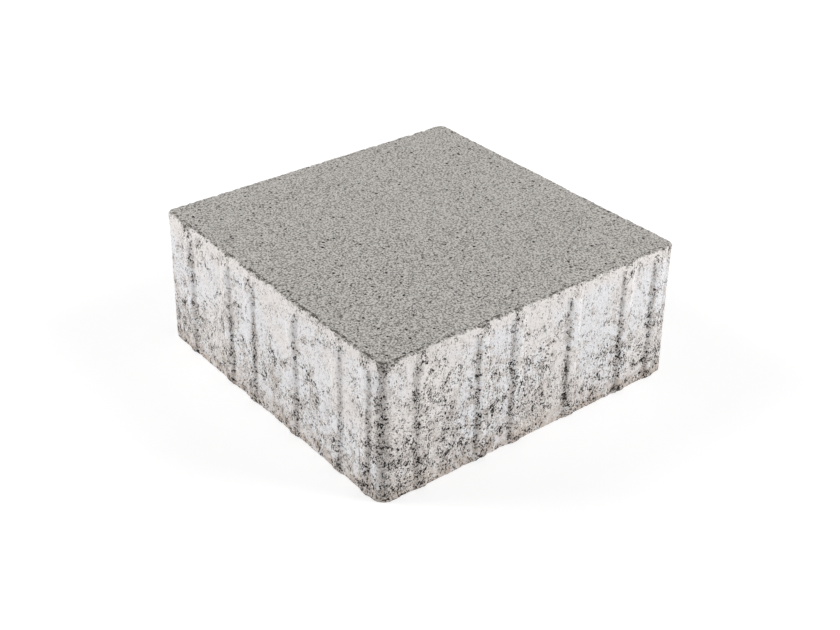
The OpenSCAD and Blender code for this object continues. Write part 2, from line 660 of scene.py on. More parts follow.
@dataclass
class CastStone:
    """The whole stone as one closed mesh, with the relief that casting and wear leave on it."""

    form: StoneForm
    ribs: SpacerRibs
    pores: OpenPores
    edges: EdgeWear = EdgeWear()
    layout: MapLayout = MapLayout()
    columns_per_side: int = 204
    side_rows: int = 78
    arris_rows: int = 5
    base_edge_rows: int = 3
    bed_insets: tuple[float, ...] = (3.4 * MM, 1.9 * MM)
    bed_settling: tuple[float, ...] = (0.0, 0.4)
    bed_ring_w: float = 2.0 * MM
    bed_openness: float = 0.6
    top_insets: tuple[float, ...] = (0.7 * MM, 1.5 * MM, 2.4 * MM, 3.4 * MM)
    top_ring_w: float = 1.0 * MM
    side_waves: tuple[Relief, ...] = (
        Relief(28 * MM, 41, height=0.16 * MM),
        Relief(4 * MM, 42, height=0.09 * MM, upright=0.3),
        Relief(1.7 * MM, 43, height=0.1 * MM),
    )
    waves_on_top: float = 0.25
    rib_waver: Relief = Relief(18 * MM, 51, height=0.5 * MM)
    rib_swell: Relief = Relief(5 * MM, 52, octaves=3, height=0.2)
    rib_under_edge: Ramp = Ramp(-math.pi / 2, 0.0, 0.3, 1.0)
    rib_foot_wear: Ramp = Ramp(7 * MM, 0.0, 0.0, 0.4)
    rib_head_zone: Ramp = Ramp(11 * MM, 3 * MM)
    tip_fill: Ramp = Ramp(14 * MM, 0.0, 0.0, 0.5 * MM)
    film_end: Ramp = Ramp(math.radians(20), math.radians(75), 1.0, 0.0)
    full_pit: float = 0.9 * MM

    def outline(self) -> Outline:
        """Walks once round the stone.

        Returns:
            The walk.
        """
        flat, bend_r = self.form.half_flat, self.form.side_r(self.form.height / 2)
        side_l = 2 * flat + bend_r * math.pi / 2
        walk = (np.arange(self.columns_per_side) / self.columns_per_side - 0.5) * side_l
        turn = np.sign(walk) * np.maximum(np.abs(walk) - flat, 0.0) / bend_r
        centre = np.stack([np.clip(walk, -flat, flat), np.full(len(walk), -flat)], -1)
        out = np.stack([np.sin(turn), -np.cos(turn)], -1)
        centres, outs = [], []
        for side in range(SIDES):
            angle = side * 2 * math.pi / SIDES
            spin = np.array([[math.cos(angle), math.sin(angle)], [-math.sin(angle), math.cos(angle)]])
            centres.append(centre @ spin)
            outs.append(out @ spin)
        along = np.tile(walk, SIDES)
        walked = np.arange(SIDES * self.columns_per_side) / self.columns_per_side * side_l
        return Outline(np.concatenate(centres), np.concatenate(outs), along, np.abs(along) - flat, walked)

    @staticmethod
    def rounding(centre: Span, radius: float, angles: Span, rows: int) -> list[tuple[float, float, float]]:
        """Goes round an edge of the section.

        Args:
            centre: Centre of the rounding, as a distance from the corners' centre lines and a height.
            radius: Radius of the rounding.
            angles: First and last angle at which the surface faces up, in degrees.
            rows: How many rows it takes.

        Returns:
            Distance, height and angle of each row.
        """
        turns = [(angle, math.radians(angle)) for angle in np.linspace(*angles, rows)]
        return [(centre[0] + radius * math.cos(t), centre[1] + radius * math.sin(t), a) for a, t in turns]

    def profile(self) -> Profile:
        """Goes up the stone's section, from under its edge to just inside the wearing face's arris.

        Returns:
            The section.
        """
        form, edge = self.form, self.form.base_edge_r
        top = form.height - form.arris_r
        inner_r = float(form.side_r(top)) - form.arris_r
        side_z = np.linspace(edge, top, self.side_rows + 1)[1:-1]
        rows = [(form.base_corner_r - inset, 0.0, -90.0) for inset in self.bed_insets]
        rows += self.rounding((form.base_corner_r - edge, edge), edge, (-90, 0), self.base_edge_rows)
        rows += [(float(form.side_r(z)), float(z), 0.0) for z in side_z]
        rows += self.rounding((inner_r, top), form.arris_r, (0, 90), self.arris_rows)
        rows += [(inner_r - inset, form.height, 90.0) for inset in self.top_insets]
        radius, z, degrees = np.array(rows).T[..., None]
        steps = np.hypot(np.diff(radius, axis=0), np.diff(z, axis=0))
        path = np.concatenate([np.zeros((1, 1)), np.cumsum(steps, axis=0)])
        arris = int(np.abs(degrees - 45.0).argmin())
        return Profile(radius, z, np.radians(degrees), path - path[arris], 1.0 - z / form.height)

    @staticmethod
    def shell(outline: Outline, radius: np.ndarray, z: np.ndarray) -> np.ndarray:
        """Places the rows and columns of vertices.

        Args:
            outline: The walk round the stone.
            radius: Distance from the walk's inner points, in rows and columns or the same along a row.
            z: Height, likewise.

        Returns:
            Places in metres, in rows and columns.
        """
        wide = np.broadcast_to(radius, (len(radius), len(outline.centre)))[..., None]
        flat = outline.centre[None] + outline.out[None] * wide
        high = np.broadcast_to(z, wide.shape[:2])[..., None]
        return np.concatenate([flat, high], axis=-1)

    def rib_heights(
        self, outline: Outline, profile: Profile, plain: np.ndarray
    ) -> tuple[np.ndarray, np.ndarray]:
        """Works out the ribs as they came out of the mould and wore.

        Args:
            outline: The walk round the stone.
            profile: The stone's section.
            plain: Places of the vertices without relief, in rows and columns.

        Returns:
            Height of the ribs in metres, and how near each vertex lies to the upper end of a rib, from
            1 above the rib to 0 far from it, in rows and columns.
        """
        depth, half_flat = self.form.height - profile.z, self.form.half_flat
        along = outline.along + self.rib_waver.at(plain)
        rib = self.ribs.relief(along, depth, half_flat) * (1.0 + self.rib_swell.at(plain))
        rib *= 1.0 - self.rib_foot_wear.at(profile.z)
        rib *= self.rib_under_edge.at(profile.up) * (profile.up <= 0)
        rib[0] = 0.0
        full = self.ribs.relief(along, np.array(self.form.height), half_flat) / self.ribs.height
        return rib, full * self.rib_head_zone.at(depth)

    def build(self, name: str) -> bpy.types.Object:
        """Makes the stone.

        Args:
            name: Name of the object.

        Returns:
            The object.
        """
        outline, profile = self.outline(), self.profile()
        plain = self.shell(outline, profile.radius, profile.z)
        rib, head = self.rib_heights(outline, profile, plain)
        rib_share = np.clip(rib / self.ribs.height, 0.0, 1.0)
        openness = self.pores.openness(plain, outline, profile, rib_share, head)
        likely = self.pores.chance(openness, outline, profile, rib_share)
        facing_out = np.cos(profile.up)
        pits = self.pores.depth(outline.walked, profile.z[:, 0], likely, plain) * facing_out
        worn, chips = self.edges.wear(plain, profile)
        waves = sum(relief.at(plain) for relief in self.side_waves)
        lift = waves * between((self.waves_on_top, 1.0), facing_out) - pits - worn
        lift[: len(self.bed_settling)] *= np.array(self.bed_settling)[:, None]
        tips = Ramp(0.0, outline.beyond.max()).at(outline.beyond)
        fill = self.tip_fill.at(self.form.height - profile.z) * tips
        sideways = rib + fill + lift * facing_out
        points = self.shell(outline, profile.radius + sideways, profile.z + lift * np.sin(profile.up))
        points[..., 2] = np.maximum(points[..., 2], 0.0)
        marks = {
            Mark.SKIN: np.broadcast_to(self.film_end.at(profile.up), pits.shape),
            Mark.EDGE: np.broadcast_to(profile.inward, pits.shape),
            Mark.OPEN: openness,
            Mark.PIT: np.clip(pits / self.full_pit + chips, 0.0, 1.0),
        }
        return self.join(points, marks, name)

    def join(self, points: np.ndarray, marks: dict[Mark, np.ndarray], name: str) -> bpy.types.Object:
        """Joins the rows into a closed mesh with its two ends.

        Args:
            points: Places of the vertices, in rows and columns.
            marks: Values for the finish, likewise.
            name: Name of the object.

        Returns:
            The object.
        """
        parts = MeshParts()
        rows, columns = points.shape[:2]
        flat_marks = {mark: values.reshape(-1) for mark, values in marks.items()}
        numbers = parts.add_points(points.reshape(-1, 3), flat_marks).reshape(rows, columns)
        step = (2 * self.form.half_flat + self.layout.corner_w) / self.columns_per_side
        for j in range(rows - 1):
            for i in range(columns):
                side, k = divmod(i, self.columns_per_side)
                corners = [numbers[j + v, (i + u) % columns] for u, v in UNIT_SQUARE]
                places = [self.layout.side_place(side, (k + u) * step, j + v) for u, v in UNIT_SQUARE]
                parts.add_face(corners, places)
        far, half_w = self.form.height, self.form.half_base
        top_marks = {Mark.EDGE: far}
        bed_marks = {Mark.SKIN: 1.0, Mark.OPEN: self.bed_openness, Mark.EDGE: -far}
        shrink = 1.0 - self.top_ring_w / half_w
        top = EndFace(parts, self.layout, upward=True, halvings=1, shrink=shrink, marks=top_marks)
        top.close(numbers[-1], points[-1])
        shrink = 1.0 - self.bed_ring_w / half_w
        bed = EndFace(parts, self.layout, upward=False, halvings=2, shrink=shrink, marks=bed_marks)
        bed.close(numbers[0], points[0])
        return parts.to_object(name)


@dataclass(frozen=True)
class Clouds:
    """Soft noise with patches of about one size, with values round a half.

    An upright share under 1 draws the patches out in height.
    """

    size: float
    detail: float = 3.0
    roughness: float = 0.6
    upright: float = 1.0


class NodeSheet:
    """Adds nodes to a node tree and joins them."""

    def __init__(self, tree: bpy.types.NodeTree) -> None:
        """Takes the tree to work on."""
        self.tree = tree

    def add(self, kind: str, **settings: object) -> bpy.types.Node:
        """Adds a node.

        Args:
            kind: Type of the node.
            settings: Properties to set on it.

        Returns:
            The node.
        """
        made = self.tree.nodes.new(kind)
        for key, value in settings.items():
            setattr(made, key, value)
        return made

    def feed(self, socket: Socket, value: object) -> None:
        """Joins an output to a socket, or sets the socket's value.

        Args:
            socket: Socket to feed.
            value: An output of another node, or a plain value.
        """
        if isinstance(value, Socket):
            self.tree.links.new(value, socket)
        else:
            socket.default_value = value

    def joined(self, node: bpy.types.Node, *values: object) -> Socket:
        """Feeds a node's first sockets in order.

        Args:
            node: The node.
            values: What its sockets take.

        Returns:
            The node's first output.
        """
        for socket, value in zip(node.inputs, values):
            self.feed(socket, value)
        return node.outputs[0]

    def math(self, operation: str, *values: object, clamp: bool = False) -> Socket:
        """Adds a Math node, with its result kept between 0 and 1 where clamp is True."""
        return self.joined(self.add("ShaderNodeMath", operation=operation, use_clamp=clamp), *values)

    def vector_math(self, operation: str, *values: object) -> Socket:
        """Adds a Vector Math node."""
        return self.joined(self.add("ShaderNodeVectorMath", operation=operation), *values)

    def times(self, first: object, second: object) -> Socket:
        """Multiplies two values."""
        return self.math("MULTIPLY", first, second)

    def plus(self, first: object, second: object) -> Socket:
        """Adds two values."""
        return self.math("ADD", first, second)

    def minus(self, first: object, second: object) -> Socket:
        """Takes the second value from the first."""
        return self.math("SUBTRACT", first, second)

    def larger(self, first: object, second: object) -> Socket:
        """Gives the larger of two values."""
        return self.math("MAXIMUM", first, second)

    def centred(self, value: Socket) -> Socket:
        """Shifts a value round a half to lie round 0."""
        return self.minus(value, 0.5)

    def ease(self, value: Socket, ramp: Ramp, end: Socket | None = None) -> Socket:
        """Adds a Map Range node that follows a ramp.

        Args:
            value: What the ramp depends on.
            ramp: The ramp.
            end: Value that takes the place of the ramp's own end, if any.

        Returns:
            The ramp's value.
        """
        made = self.add("ShaderNodeMapRange", interpolation_type="SMOOTHSTEP")
        names = ("Value", "From Min", "From Max", "To Min", "To Max")
        last = ramp.end if end is None else end
        for name, item in zip(names, (value, ramp.low, ramp.high, ramp.start, last)):
            self.feed(made.inputs[name], item)
        return made.outputs["Result"]

    def blend(self, share: object, first: object, second: object, way: str = "MIX") -> Socket:
        """Blends two colours.

        Args:
            share: How much of the second one shows.
            first: First colour.
            second: Second colour.
            way: How they blend.

        Returns:
            The blended colour.
        """
        made = self.add("ShaderNodeMix", data_type="RGBA", blend_type=way)
        self.feed(made.inputs["Factor"], share)
        colours = [socket for socket in made.inputs if socket.type == "RGBA"]
        self.feed(colours[0], first)
        self.feed(colours[1], second)
        return next(socket for socket in made.outputs if socket.type == "RGBA")

    def stretched(self, vector: Socket, upright: float) -> Socket:
        """Scales the height of a place, so that a pattern on it is drawn out by the inverse."""
        return self.vector_math("MULTIPLY", vector, (1.0, 1.0, upright))

    def clouds(self, vector: Socket, pattern: Clouds) -> Socket:
        """Adds soft noise.

        Args:
            vector: Place in the noise.
            pattern: The noise's size and detail.

        Returns:
            Values round a half.
        """
        made = self.add("ShaderNodeTexNoise")
        made.inputs["Scale"].default_value = 1.0 / pattern.size
        made.inputs["Detail"].default_value = pattern.detail
        made.inputs["Roughness"].default_value = pattern.roughness
        drawn_out = pattern.upright != 1.0
        self.feed(made.inputs["Vector"], self.stretched(vector, pattern.upright) if drawn_out else vector)
        return made.outputs["Fac"]

    def cells(self, vector: Socket, size: Socket) -> tuple[Socket, bpy.types.NodeOutputs]:
        """Adds a cell pattern.

        Args:
            vector: Place in the pattern.
            size: Size of the cells.

        Returns:
            The distance from the middle of a cell, in cells, and three random values for each cell.
        """
        made = self.add("ShaderNodeTexVoronoi")
        self.feed(made.inputs["Vector"], vector)
        self.feed(made.inputs["Scale"], self.math("DIVIDE", 1.0, size))
        parts = self.add("ShaderNodeSeparateColor")
        self.feed(parts.inputs[0], made.outputs["Color"])
        return made.outputs["Distance"], parts.outputs

    def warped(self, vector: Socket, size: float, amount: float) -> Socket:
        """Shifts a vector about by noise.

        Args:
            vector: Vector to shift.
            size: Size of the noise's patches.
            amount: How far it shifts, as a share of that size.

        Returns:
            The shifted vector.
        """
        made = self.add("ShaderNodeTexNoise")
        made.inputs["Scale"].default_value = 1.0 / size
        made.inputs["Detail"].default_value = 1.0
        self.feed(made.inputs["Vector"], vector)
        shift = self.vector_math("SUBTRACT", made.outputs["Color"], (0.5, 0.5, 0.5))
        reach = 2.0 * amount * size
        return self.vector_math("MULTIPLY_ADD", shift, (reach, reach, reach), vector)

    def either(self, share: Socket, first: Socket, second: Socket) -> Socket:
        """Mixes two shaders by the share of the second one."""
        return self.joined(self.add("ShaderNodeMixShader"), share, first, second)


class FinishGroup:
    """A shader node group that the finishes share."""

    name: str = ""
    inputs: tuple[tuple[str, str, object], ...] = ()
    outputs: tuple[str, ...] = ()

    def __init__(self) -> None:
        """Makes the group's tree with its sockets, and draws it."""
        self.tree = bpy.data.node_groups.new(self.name, "ShaderNodeTree")
        for label, kind, value in self.inputs:
            socket = self.tree.interface.new_socket(label, in_out="INPUT", socket_type=kind)
            if value is not None:
                socket.default_value = value
        for label in self.outputs:
            self.tree.interface.new_socket(label, in_out="OUTPUT", socket_type="NodeSocketFloat")
        sheet = NodeSheet(self.tree)
        source = sheet.add("NodeGroupInput").outputs
        target = sheet.add("NodeGroupOutput").inputs
        for label, value in self.draw(sheet, source).items():
            sheet.feed(target[label], value)

    def draw(self, sheet: NodeSheet, source: bpy.types.NodeOutputs) -> dict[str, Socket]:
        """Draws the group.

        Args:
            sheet: Sheet of the group's tree.
            source: The group's inputs.

        Returns:
            The socket for each output.
        """
        raise NotImplementedError

    def place(self, sheet: NodeSheet, **values: object) -> bpy.types.NodeOutputs:
        """Places the group in a tree.

        Args:
            sheet: Sheet of the tree.
            values: Inputs by name.

        Returns:
            The placed group's outputs.
        """
        made = sheet.add("ShaderNodeGroup", node_tree=self.tree)
        for key, value in values.items():
            sheet.feed(made.inputs[key], value)
        return made.outputs


class SandGrain(FinishGroup):
    """Single grains of sand: a tone round a half for each grain, and the grains' height."""

    name = "sand_grain"
    inputs = (
        ("Vector", "NodeSocketVector", None),
        ("Grain", "NodeSocketFloat", 0.8 * MM),
        ("Variety", "NodeSocketFloat", 0.5),
    )
    outputs = ("Tone", "Height")
    gap_contrast: float = 1.2
    least_height: float = 0.4

    def draw(self, sheet: NodeSheet, source: bpy.types.NodeOutputs) -> dict[str, Socket]:
        """Draws the grains as cells with a random tone that darkens towards the gaps between them.

        Args:
            sheet: Sheet of the group's tree.
            source: The group's inputs.

        Returns:
            The tone and the height.
        """
        cells, parts = sheet.cells(source["Vector"], source["Grain"])
        inside = sheet.times(sheet.minus(0.5, cells), self.gap_contrast)
        own = sheet.math("MULTIPLY_ADD", sheet.centred(parts[0]), source["Variety"], 0.5)
        dome = sheet.math("SUBTRACT", 1.0, cells, clamp=True)
        height = sheet.times(dome, sheet.plus(self.least_height, parts[1]))
        return {"Tone": sheet.plus(own, inside), "Height": height}


class GrainSpecks(FinishGroup):
    """Angular specks, each as large as a grain: a mask of 1 inside them, and how dark each one is."""

    name = "grain_specks"
    inputs = (
        ("Vector", "NodeSocketVector", None),
        ("Size", "NodeSocketFloat", 0.8 * MM),
        ("Share", "NodeSocketFloat", 0.2),
    )
    outputs = ("Mask", "Dark", "Depth")
    bowl_slope: float = 0.8
    least_dark: float = 0.65
    dark_variety: float = 0.9

    def draw(self, sheet: NodeSheet, source: bpy.types.NodeOutputs) -> dict[str, Socket]:
        """Draws the cells whose random value lies below the share of the surface that is covered.

        Args:
            sheet: Sheet of the group's tree.
            source: The group's inputs.

        Returns:
            The mask, the darkness and the depth.
        """
        cells, parts = sheet.cells(source["Vector"], source["Size"])
        mask = sheet.math("LESS_THAN", parts[0], source["Share"])
        bowl = sheet.math("SUBTRACT", 1.0, sheet.times(cells, self.bowl_slope), clamp=True)
        dark = sheet.math("MULTIPLY_ADD", parts[1], self.dark_variety, self.least_dark, clamp=True)
        return {"Mask": mask, "Dark": dark, "Depth": sheet.times(mask, sheet.times(bowl, dark))}


class PinHoles(FinishGroup):
    """Small holes that stand apart: a mask of 1 inside them, and how deep they are."""

    name = "pin_holes"
    inputs = (
        ("Vector", "NodeSocketVector", None),
        ("Spacing", "NodeSocketFloat", 3.6 * MM),
        ("Radius", "NodeSocketFloat", 0.8 * MM),
    )
    outputs = ("Mask", "Depth")

    def draw(self, sheet: NodeSheet, source: bpy.types.NodeOutputs) -> dict[str, Socket]:
        """Draws a ragged ball of random size round the middle of each cell.

        Args:
            sheet: Sheet of the group's tree.
            source: The group's inputs.

        Returns:
            The mask and the depth.
        """
        cells, parts = sheet.cells(source["Vector"], source["Spacing"])
        reach = sheet.math("DIVIDE", sheet.times(source["Radius"], parts[0]), source["Spacing"])
        depth = sheet.math("SUBTRACT", 1.0, sheet.math("DIVIDE", cells, reach), clamp=True)
        return {"Mask": sheet.math("LESS_THAN", cells, reach), "Depth": depth}


@dataclass(frozen=True)
class SpeckLayer:
    """One layer of specks on the sides, from a whole film to fully open texture."""

    size: float
    tall: float
    sparse: float
    dense: float
    strength: float
    faintness: float = 0.6
    opening: Span = (0.25, 0.95)
    darkening: Span = (0.25, 0.6)

    @property
    def share(self) -> Ramp:
        """Share of the surface that the specks cover, by how open the texture is."""
        return Ramp(*self.opening, self.sparse, self.dense)

    @property
    def shown(self) -> Ramp:
        """How dark the specks show, by how open the texture is."""
        return Ramp(*self.darkening, self.faintness * self.strength, self.strength)


@dataclass(frozen=True)
class ConcreteFinish:
    """Cast concrete: grey open grain on top, lime film and pores on the sides."""

    name: str = "cast_concrete"
    stone_h: float = 80 * MM
    ragged_size: float = 0.9 * MM
    ragged_amount: float = 0.5

    # Wearing face: grains with darker gaps, dark sand and pinholes darkened with painted shade. The sand
    # thickens to the near corner.
    wearing_grain: float = 1.15 * MM
    wearing_variety: float = 0.2
    wearing_tones: Ramp = Ramp(0.1, 0.8)
    wearing_dark: Colour = paint(137, 134, 129)
    wearing_light: Colour = paint(206, 202, 197)
    wearing_speck: Colour = paint(40, 37, 34)
    sand_size: float = 0.55 * MM
    sand_share: Ramp = Ramp(150 * MM, -190 * MM, 0.03, 0.1)
    sand_strength: float = 0.9
    sand_depth: float = 0.5
    pin_spacing: float = 3.6 * MM
    pin_radius: float = 0.85 * MM

    # Sides: a film of lime that is thin in places, over bare concrete, with stains and a beige foot.
    grain: float = 0.6 * MM
    bare_tones: Ramp = Ramp(0.25, 0.75)
    bare_dark: Colour = paint(187, 181, 176)
    bare_light: Colour = paint(235, 229, 226)
    film_patches: Clouds = Clouds(30 * MM, roughness=0.5)
    film_warmth: Ramp = Ramp(0.4, 0.66)
    film_warm_top: Ramp = Ramp(10 * MM, 2 * MM)
    film_gaps: Ramp = Ramp(0.5, 0.25, 0.0, 0.35)
    film_cool: Colour = paint(239, 239, 242)
    film_warm: Colour = paint(240, 235, 232)
    drag: Clouds = Clouds(2.4 * MM, upright=0.07)
    breaks: Clouds = Clouds(4 * MM, 5.0, 0.7)
    pit_openness: float = 0.3
    thin_by_openness: float = 0.42
    thin_by_drag: float = 0.5
    bare_share: Ramp = Ramp(0.16, 0.28, 0.0, 0.95)
    stains: Clouds = Clouds(17 * MM, 4.0)
    stain_share: Ramp = Ramp(0.5, 0.7)
    stain_depth: Ramp = Ramp(0.0, 65 * MM, 0.1, 0.55)
    stain: Colour = paint(216, 207, 200)
    beige_share: Ramp = Ramp(0.3, 0.6)
    beige_depth: Ramp = Ramp(62 * MM, 79 * MM, 0.0, 0.65)
    base_beige: Colour = paint(198, 182, 169)

    # Pores of the sides: specks that gather in clusters, and torn hollows where the mesh has its pits.
    # The near-black pore colour is painted shade: it stands for the shade deep inside the pores and hollows.
    pore_shade: Colour = paint(30, 28, 26)
    clusters: Clouds = Clouds(5 * MM)
    cluster_swing: Span = (2.8, 1.1)
    side_layers: tuple[SpeckLayer, ...] = (
        SpeckLayer(0.5 * MM, 2.0, 0.08, 0.15, 0.45),
        SpeckLayer(0.55 * MM, 1.4, 0.03, 0.26, 1.0),
        SpeckLayer(0.85 * MM, 1.2, 0.0, 0.19, 1.0),
    )
    jags: Clouds = Clouds(1.1 * MM)
    jag_reach: float = 2.4
    torn_share: Ramp = Ramp(0.38, 0.48, 0.0, 0.8)
    pit_zone: Ramp = Ramp(0.02, 0.15)

    # Upper edge of the film, with its teeth and ledges, and the crumbs along the arris, painted dark with the
    # shade of their hollows. Both near sides have most crumbs, each as its own ramp says, and the far sides
    # keep a small share of them.
    teeth: Clouds = Clouds(1.6 * MM, 4.0, 0.7, upright=0.5)
    teeth_reach: Ramp = Ramp(0.36, 0.64, -0.6 * MM, 0.9 * MM)
    ledges: Clouds = Clouds(12 * MM)
    ledge_reach: Ramp = Ramp(0.4, 0.7, -0.9 * MM, 0.3 * MM)
    torn_off: Ramp = Ramp(0.45, 0.8, 0.0, 3.5 * MM)
    film_cut: Ramp = Ramp(-0.25 * MM, 0.25 * MM)
    rim_start: Ramp = Ramp(0.3 * MM, 1.2 * MM)
    rim_stop: Ramp = Ramp(2.9 * MM, 1.9 * MM)
    crumb_size: float = 1.0 * MM
    crumb_openness: float = 0.35
    crumb_share: Ramp = Ramp(0.45, 0.8, 0.05, 0.75)
    crumb_near_side: Ramp = Ramp(-85 * MM, -93 * MM, 0.15)
    crumb_left: Ramp = Ramp(95 * MM, -95 * MM, 0.85, 1.4)
    crumb_front: Ramp = Ramp(95 * MM, -95 * MM, 0.35, 1.0)
    crumb_gaps: Ramp = Ramp(0.4 * MM, -0.4 * MM, 0.0, 0.3)
    crumb_strength: float = 0.85
    # Dark brown of the crumbs: painted shade in their hollows.
    crumb_hollow_shade: Colour = paint(74, 66, 58)

    # Surface: height of the grit on the sides and what the wearing face adds, and the shine.
    grit_on_side: float = 0.15
    grit_more_on_top: float = 0.3
    bump_strength: float = 0.8
    bump_depth: float = 0.5 * MM
    roughness: Ramp = Ramp(0.02, 0.45, 0.8, 0.95)
    gloss: float = 0.3

    def build(self) -> bpy.types.Material:
        """Makes the material.

        Returns:
            The material.
        """
        made = blank_material(self.name)
        ConcreteSheet(made.node_tree, self).draw()
        return made


class ConcreteSheet(NodeSheet):
    """The nodes of the concrete's material, drawn with the values of its finish."""

    def __init__(self, tree: bpy.types.NodeTree, finish: ConcreteFinish) -> None:
        """Takes the tree and adds the nodes that several parts of the finish use.

        Args:
            tree: Tree of the material.
            finish: Values to draw with.
        """
        super().__init__(tree)
        self.finish = finish
        self.grains, self.specks, self.holes = SandGrain(), GrainSpecks(), PinHoles()
        self.place = self.add("ShaderNodeTexCoord").outputs["Object"]
        axes = self.add("ShaderNodeSeparateXYZ")
        self.feed(axes.inputs[0], self.place)
        self.x, self.y = axes.outputs["X"], axes.outputs["Y"]
        self.below_top = self.minus(finish.stone_h, axes.outputs["Z"])
        marks = {mark: self.add("ShaderNodeAttribute", attribute_name=mark.value) for mark in Mark}
        self.marks = {mark: node.outputs["Fac"] for mark, node in marks.items()}
        pitted = self.times(self.marks[Mark.PIT], finish.pit_openness)
        self.openness = self.plus(self.marks[Mark.OPEN], pitted)
        self.ragged = self.warped(self.place, finish.ragged_size, finish.ragged_amount)
        self.grain = self.grains.place(self, Vector=self.place, Grain=finish.grain)
        self.breaks = self.clouds(self.place, finish.breaks)
        self.clusters = self.clouds(self.place, finish.clusters)

    def wearing_face(self) -> tuple[Socket, Socket]:
        """Draws the open grain of the wearing face.

        Returns:
            Its colour and the depth of its holes.
        """
        finish = self.finish
        variety = finish.wearing_variety
        grain = self.grains.place(self, Vector=self.place, Grain=finish.wearing_grain, Variety=variety)
        tone = self.ease(grain["Tone"], finish.wearing_tones)
        colour = self.blend(tone, finish.wearing_dark, finish.wearing_light)
        sand_share = self.ease(self.plus(self.x, self.y), finish.sand_share)
        sand = self.specks.place(self, Vector=self.ragged, Size=finish.sand_size, Share=sand_share)
        colour = self.blend(self.times(sand["Mask"], finish.sand_strength), colour, finish.wearing_speck)
        spacing, radius = finish.pin_spacing, finish.pin_radius
        pins = self.holes.place(self, Vector=self.ragged, Spacing=spacing, Radius=radius)
        # The pinholes are painted near-black: painted shade inside each hole.
        colour = self.blend(pins["Mask"], colour, finish.pore_shade)
        return colour, self.larger(self.times(sand["Depth"], finish.sand_depth), pins["Depth"])

    def lime_film(self) -> tuple[Socket, Socket]:
        """Draws the lime film of the sides, with the bare concrete that shows where it is thin.

        Returns:
            Its colour, and how thin the film is.
        """
        finish, tone = self.finish, self.grain["Tone"]
        warm = self.ease(self.clouds(self.place, finish.film_patches), finish.film_warmth)
        film = self.blend(warm, finish.film_cool, finish.film_warm)
        film = self.blend(self.ease(self.below_top, finish.film_warm_top), film, finish.film_warm)
        bare = self.blend(self.ease(tone, finish.bare_tones), finish.bare_dark, finish.bare_light)
        film = self.blend(self.ease(tone, finish.film_gaps), film, bare)
        thin = self.plus(self.times(self.openness, finish.thin_by_openness), self.centred(self.breaks))
        dragged = self.centred(self.clouds(self.place, finish.drag))
        thin = self.plus(thin, self.times(dragged, finish.thin_by_drag))
        colour = self.blend(self.ease(thin, finish.bare_share), film, bare)
        stains = self.ease(self.clouds(self.place, finish.stains), finish.stain_share)
        stains = self.times(stains, self.ease(self.below_top, finish.stain_depth))
        colour = self.blend(stains, colour, finish.stain, "MULTIPLY")
        beige = self.ease(self.breaks, finish.beige_share)
        beige = self.times(beige, self.ease(self.below_top, finish.beige_depth))
        return self.blend(beige, colour, finish.base_beige), thin

    def side_specks(self, colour: Socket) -> tuple[Socket, Socket]:
        """Draws the layers of dark specks on the sides: pores whose darkness is painted shade.

        Args:
            colour: Colour under the specks.

        Returns:
            The colour with the specks, and their depth.
        """
        finish = self.finish
        swing = self.math("MULTIPLY_ADD", self.openness, *finish.cluster_swing)
        gathered = self.math("MULTIPLY_ADD", self.centred(self.clusters), swing, self.openness)
        depth: Socket | float = 0.0
        for layer in finish.side_layers:
            place = self.stretched(self.ragged, 1.0 / layer.tall)
            share = self.ease(gathered, layer.share)
            spots = self.specks.place(self, Vector=place, Size=layer.size, Share=share)
            # Each speck is painted from bare grey towards the near-black pore colour: painted shade inside
            # the pore.
            shade = self.blend(spots["Dark"], finish.bare_dark, finish.pore_shade)
            shown = self.times(spots["Mask"], self.ease(self.openness, layer.shown))
            colour = self.blend(shown, colour, shade)
            depth = self.larger(depth, self.times(spots["Depth"], layer.strength))
        return colour, depth

    def hollows(self, colour: Socket) -> Socket:
        """Paints shade into the torn hollows, where the mesh has its pits, on top of the real shade of their
        relief.

        Args:
            colour: Colour round the hollows.

        Returns:
            The colour with the painted shade of the hollows.
        """
        finish, pit = self.finish, self.marks[Mark.PIT]
        jags = self.times(self.centred(self.clouds(self.place, finish.jags)), finish.jag_reach)
        torn = self.times(self.ease(self.plus(pit, jags), finish.torn_share), self.ease(pit, finish.pit_zone))
        # Painted shade: the torn hollows take the near-black pore colour, on top of the real shade that the
        # mesh's pits cast.
        return self.blend(torn, colour, finish.pore_shade)

    def below_film_edge(self) -> Socket:
        """Draws the ragged upper edge of the film.

        Returns:
            How far a point lies below that edge, negative above it.
        """
        finish = self.finish
        teeth = self.ease(self.clouds(self.place, finish.teeth), finish.teeth_reach)
        ledges = self.ease(self.clouds(self.place, finish.ledges), finish.ledge_reach)
        reach = self.plus(self.plus(ledges, self.ease(self.openness, finish.torn_off)), teeth)
        return self.minus(self.times(self.marks[Mark.EDGE], -1.0), reach)

    def arris_crumbs(self, below_edge: Socket) -> bpy.types.NodeOutputs:
        """Draws the crumbs along the arris and in the gap above the film, painted dark with the shade of
        their hollows.

        Args:
            below_edge: How far a point lies below the film's edge.

        Returns:
            The crumbs' mask, darkness and depth.
        """
        finish, inward = self.finish, self.marks[Mark.EDGE]
        rim = self.times(self.ease(inward, finish.rim_start), self.ease(inward, finish.rim_stop))
        worn = self.plus(self.clusters, self.times(self.openness, finish.crumb_openness))
        share = self.times(rim, self.ease(worn, finish.crumb_share))
        left = self.ease(self.x, finish.crumb_near_side, self.ease(self.y, finish.crumb_left))
        front = self.ease(self.y, finish.crumb_near_side, self.ease(self.x, finish.crumb_front))
        share = self.times(share, self.larger(left, front))
        gaps = self.times(self.marks[Mark.SKIN], self.ease(below_edge, finish.crumb_gaps))
        share = self.larger(share, gaps)
        return self.specks.place(self, Vector=self.ragged, Size=finish.crumb_size, Share=share)

